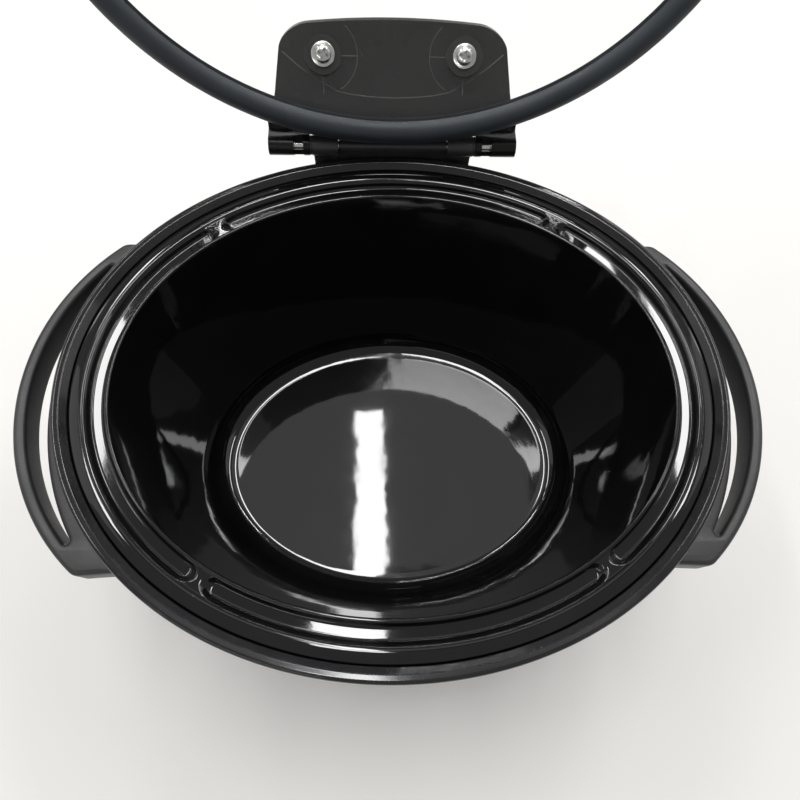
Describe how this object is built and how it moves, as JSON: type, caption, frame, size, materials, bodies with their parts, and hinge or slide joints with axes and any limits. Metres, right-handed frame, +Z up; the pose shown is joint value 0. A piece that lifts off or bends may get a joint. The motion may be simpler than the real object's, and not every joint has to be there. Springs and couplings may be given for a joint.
{
  "type": "slow cooker",
  "caption": "Oval slow cooker: a black glazed crock that lifts out of a heated housing, a hinged glass lid with a rubber gasket standing open, a control knob and side handles.",
  "frame": {"origin": "on the table plane, under the centre of the oval crock", "axes": "+Z up, -Y towards the front with the control knob, +Y towards the lid hinge, +X to the right seen from the front"},
  "size_m": [0.392, 0.3949, 0.4655],
  "materials": {
    "black_glaze": "gloss",
    "gloss_black": "gloss",
    "satin_black": "satin",
    "housing_paint": "semi-gloss",
    "bare_sheet": "brushed",
    "base_paint": "matte",
    "heater_sheet": "satin",
    "soft_rubber": "matte",
    "foot_rubber": "matte",
    "clear_glass": "gloss",
    "bright_steel": "polished",
    "lamp_red": "gloss",
    "pointer_white": "satin",
    "switch_plastic": "matte",
    "wire_cover": "matte"
  },
  "bodies": {
    "base": {"rim_collar": "gloss_black", "outer_housing": "housing_paint", "heating_well": "bare_sheet", "heating_band": "heater_sheet", "band_clamp": "bright_steel", "thermal_fuse": "bright_steel", "fuse_clip": "heater_sheet", "base_plate": "base_paint", "foot_front_left": "foot_rubber", "foot_front_right": "foot_rubber", "foot_back_left": "foot_rubber", "foot_back_right": "foot_rubber", "foot_screws": "bright_steel", "tie_stud": "bright_steel", "tie_washer": "bright_steel", "tie_nut": "bright_steel", "control_panel": "satin_black", "rotary_switch": "switch_plastic", "switch_nut": "bright_steel", "indicator_lens": "lamp_red", "indicator_lamp": "clear_glass", "cord_gland": "satin_black", "lead_wires": "wire_cover", "handle_right": "satin_black", "handle_left": "satin_black", "handle_screws": "bright_steel", "knuckle_screws": "bright_steel", "hinge_knuckle": "satin_black"},
    "crock": {"stoneware_crock": "black_glaze"},
    "knob": {"control_knob": "satin_black", "knob_pointer": "pointer_white", "switch_shaft": "bright_steel"},
    "lid": {"lid_glass": "clear_glass", "lid_gasket": "soft_rubber", "hinge_plate": "satin_black", "hinge_plate_screws": "bright_steel", "hinge_bushes": "soft_rubber", "hinge_pin": "bright_steel", "lid_handle": "satin_black", "lid_handle_screws": "bright_steel", "lid_handle_bushes": "soft_rubber"}
  },
  "joints": [
    {"name": "lid_hinge", "type": "hinge", "parent": "base", "child": "lid", "pos_m": [0, 0.1411, 0.202], "axis": [1, 0, 0], "range_deg": [0, 110]},
    {"name": "crock_lift", "type": "slide", "parent": "base", "child": "crock", "axis": [0, 0, 1], "range_m": [0, 0.24]},
    {"name": "knob_turn", "type": "hinge", "parent": "base", "child": "knob", "pos_m": [0, -0.1357, 0.0665], "axis": [0, 1, 0], "range_deg": [0, 135]}
  ]
}
